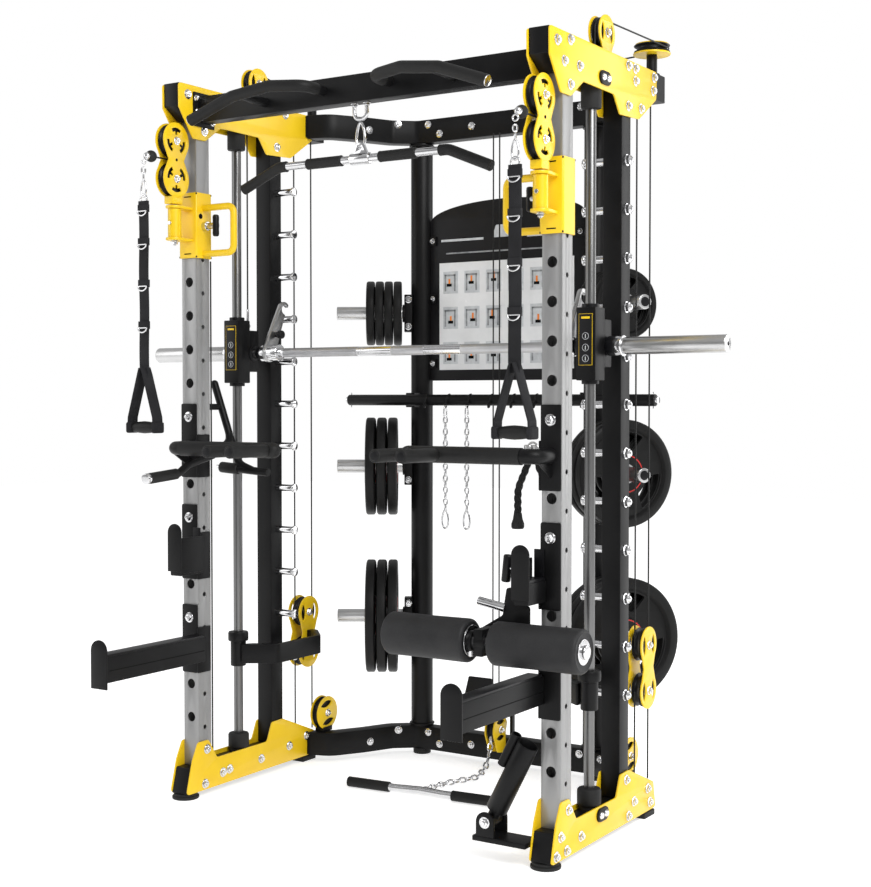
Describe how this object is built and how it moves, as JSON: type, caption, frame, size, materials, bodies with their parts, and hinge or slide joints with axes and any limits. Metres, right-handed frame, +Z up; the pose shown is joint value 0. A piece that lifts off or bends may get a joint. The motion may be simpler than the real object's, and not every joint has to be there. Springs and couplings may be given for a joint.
{
  "type": "smith machine",
  "caption": "Smith machine rack with a sliding guided bar, cable columns with swivel pulleys and hand straps, plate storage horns and bolt-on dip, spotter, roller and landmine attachments.",
  "frame": {"origin": "centre of the overall bounding box on the floor", "axes": "+Z up, -Y to the open front where the user stands, +X to the right of someone who faces the machine's open front, along the smith bar"},
  "size_m": [2.0506, 1.4268, 2.333],
  "materials": {
    "black_paint": "satin black powder coat",
    "silver_paint": "silver grey powder coat",
    "yellow_paint": "yellow powder coat",
    "chrome": "polished chrome",
    "rubber": "black rubber",
    "foam": "dense black foam with a smooth skin",
    "webbing": "black woven webbing",
    "sign_black": "matt black sheet"
  },
  "bodies": {
    "frame": {"front_upright_left": "silver_paint", "rear_upright_left": "black_paint", "base_beam_left": "black_paint", "top_beam_left": "black_paint", "bottom_gusset_left": "yellow_paint", "top_gusset_left": "yellow_paint", "guide_rod_left": "chrome", "rear_column_left": "black_paint", "column_cable_left": "rubber", "smith_cable_left": "rubber", "spotter_arm_left": "black_paint", "j_cup_left": "black_paint", "dip_handle_left": "black_paint", "front_upright_right": "silver_paint", "rear_upright_right": "black_paint", "base_beam_right": "black_paint", "top_beam_right": "black_paint", "bottom_gusset_right": "yellow_paint", "top_gusset_right": "yellow_paint", "guide_rod_right": "chrome", "rear_column_right": "black_paint", "column_cable_right": "rubber", "smith_cable_right": "rubber", "spotter_arm_right": "black_paint", "j_cup_right": "black_paint", "dip_handle_right": "black_paint", "rear_base_crossmember": "black_paint", "rear_top_crossmember": "black_paint", "sign_panel": "sign_black", "storage_bar": "black_paint", "pull_up_bar": "black_paint", "roller_bracket": "black_paint", "row_bar": "chrome"},
    "smith_carriages": {"smith_carriage_left": "black_paint", "smith_carriage_right": "black_paint"},
    "smith_bar": {"smith_bar": "chrome"},
    "pulley_carriage_left": {"pulley_carriage_left": "yellow_paint"},
    "pop_pin_left": {"pop_pin_left": "rubber"},
    "swivel_left": {"swivel_bracket_left": "yellow_paint"},
    "swivel_pulley_lower_left": {"swivel_pulley_lower_left": "rubber"},
    "swivel_pulley_upper_left": {"swivel_pulley_upper_left": "rubber"},
    "hand_strap_left": {"hand_strap_left": "webbing"},
    "lift_carriage_left": {"lift_carriage_left": "black_paint"},
    "upper_plates_left": {"upper_plates_left": "rubber"},
    "middle_plates_left": {"middle_plates_left": "rubber"},
    "lower_plates_left": {"lower_plates_left": "rubber"},
    "pulley_carriage_right": {"pulley_carriage_right": "yellow_paint"},
    "pop_pin_right": {"pop_pin_right": "rubber"},
    "swivel_right": {"swivel_bracket_right": "yellow_paint"},
    "swivel_pulley_lower_right": {"swivel_pulley_lower_right": "rubber"},
    "swivel_pulley_upper_right": {"swivel_pulley_upper_right": "rubber"},
    "hand_strap_right": {"hand_strap_right": "webbing"},
    "lift_carriage_right": {"lift_carriage_right": "black_paint"},
    "upper_plates_right": {"upper_plates_right": "rubber"},
    "middle_plates_right": {"middle_plates_right": "rubber"},
    "lower_plates_right": {"lower_plates_right": "rubber"},
    "foam_rollers": {"foam_rollers": "foam"},
    "landmine_socket": {"landmine_socket": "black_paint"},
    "lat_bar": {"lat_bar": "chrome"},
    "triceps_rope": {"triceps_rope": "rubber"}
  },
  "joints": [
    {"name": "smith_slide", "type": "slide", "parent": "frame", "child": "smith_carriages", "axis": [0, 0, 1], "range_m": [-0.7, 0.42], "deforming": ["smith_cable_left", "smith_cable_right"]},
    {"name": "smith_bar_turn", "type": "hinge", "parent": "smith_carriages", "child": "smith_bar", "pos_m": [0, 0.0036, 1.4], "axis": [1, 0, 0], "range_deg": [-16, 40]},
    {"name": "carriage_slide_left", "type": "slide", "parent": "frame", "child": "pulley_carriage_left", "axis": [0, 0, 1], "range_m": [-0.42, 0], "deforming": ["column_cable_left"]},
    {"name": "pop_pin_pull_left", "type": "slide", "parent": "pulley_carriage_left", "child": "pop_pin_left", "axis": [1, 0, 0], "range_m": [0, 0.03], "stiffness_N_per_m": 400, "springref_m": -0.004},
    {"name": "swivel_turn_left", "type": "hinge", "parent": "pulley_carriage_left", "child": "swivel_left", "pos_m": [-0.64, -0.3384, 1.79], "axis": [0, 0, 1], "range_deg": [-85, 85]},
    {"name": "pulley_spin_lower_left", "type": "hinge", "parent": "swivel_left", "child": "swivel_pulley_lower_left", "pos_m": [-0.64, -0.3474, 1.926], "axis": [1, 0, 0], "continuous": true},
    {"name": "pulley_spin_upper_left", "type": "hinge", "parent": "swivel_left", "child": "swivel_pulley_upper_left", "pos_m": [-0.64, -0.3474, 2.042], "axis": [1, 0, 0], "continuous": true},
    {"name": "strap_swing_left", "type": "hinge", "parent": "swivel_left", "child": "hand_strap_left", "pos_m": [-0.64, -0.4734, 1.95], "axis": [-1, 0, 0], "range_deg": [-4, 35]},
    {"name": "lift_slide_left", "type": "slide", "parent": "frame", "child": "lift_carriage_left", "axis": [0, 0, 1], "range_m": [0, 0.6]},
    {"name": "upper_plates_slide_left", "type": "slide", "parent": "frame", "child": "upper_plates_left", "axis": [-0.8387, -0.5446, 0], "range_m": [0, 0.1]},
    {"name": "middle_plates_slide_left", "type": "slide", "parent": "frame", "child": "middle_plates_left", "axis": [-0.8387, -0.5446, 0], "range_m": [0, 0.1]},
    {"name": "lower_plates_slide_left", "type": "slide", "parent": "frame", "child": "lower_plates_left", "axis": [-0.8387, -0.5446, 0], "range_m": [0, 0.1]},
    {"name": "carriage_slide_right", "type": "slide", "parent": "frame", "child": "pulley_carriage_right", "axis": [0, 0, 1], "range_m": [-0.42, 0], "deforming": ["column_cable_right"]},
    {"name": "pop_pin_pull_right", "type": "slide", "parent": "pulley_carriage_right", "child": "pop_pin_right", "axis": [-1, 0, 0], "range_m": [0, 0.03], "stiffness_N_per_m": 400, "springref_m": -0.004},
    {"name": "swivel_turn_right", "type": "hinge", "parent": "pulley_carriage_right", "child": "swivel_right", "pos_m": [0.64, -0.3384, 1.79], "axis": [0, 0, -1], "range_deg": [-85, 85]},
    {"name": "pulley_spin_lower_right", "type": "hinge", "parent": "swivel_right", "child": "swivel_pulley_lower_right", "pos_m": [0.64, -0.3474, 1.926], "axis": [1, 0, 0], "continuous": true},
    {"name": "pulley_spin_upper_right", "type": "hinge", "parent": "swivel_right", "child": "swivel_pulley_upper_right", "pos_m": [0.64, -0.3474, 2.042], "axis": [1, 0, 0], "continuous": true},
    {"name": "strap_swing_right", "type": "hinge", "parent": "swivel_right", "child": "hand_strap_right", "pos_m": [0.64, -0.4734, 1.95], "axis": [-1, 0, 0], "range_deg": [-4, 35]},
    {"name": "lift_slide_right", "type": "slide", "parent": "frame", "child": "lift_carriage_right", "axis": [0, 0, 1], "range_m": [0, 0.6]},
    {"name": "upper_plates_slide_right", "type": "slide", "parent": "frame", "child": "upper_plates_right", "axis": [0.8387, -0.5446, 0], "range_m": [0, 0.1]},
    {"name": "middle_plates_slide_right", "type": "slide", "parent": "frame", "child": "middle_plates_right", "axis": [0.8387, -0.5446, 0], "range_m": [0, 0.1]},
    {"name": "lower_plates_slide_right", "type": "slide", "parent": "frame", "child": "lower_plates_right", "axis": [0.8387, -0.5446, 0], "range_m": [0, 0.1]},
    {"name": "foam_roller_spin", "type": "hinge", "parent": "frame", "child": "foam_rollers", "pos_m": [0.5, -0.3934, 0.606], "axis": [1, 0, 0], "continuous": true},
    {"name": "landmine_tilt", "type": "hinge", "parent": "frame", "child": "landmine_socket", "pos_m": [0.48, -0.3134, 0.108], "axis": [0, 1, 0], "range_deg": [-95, 0]},
    {"name": "lat_bar_swing", "type": "hinge", "parent": "frame", "child": "lat_bar", "pos_m": [0, -0.2484, 2.052], "axis": [1, 0, 0], "range_deg": [-20, 20]},
    {"name": "rope_swing", "type": "hinge", "parent": "frame", "child": "triceps_rope", "pos_m": [0.17, 0.4786, 1.11], "axis": [1, 0, 0], "range_deg": [-20, 2]}
  ]
}
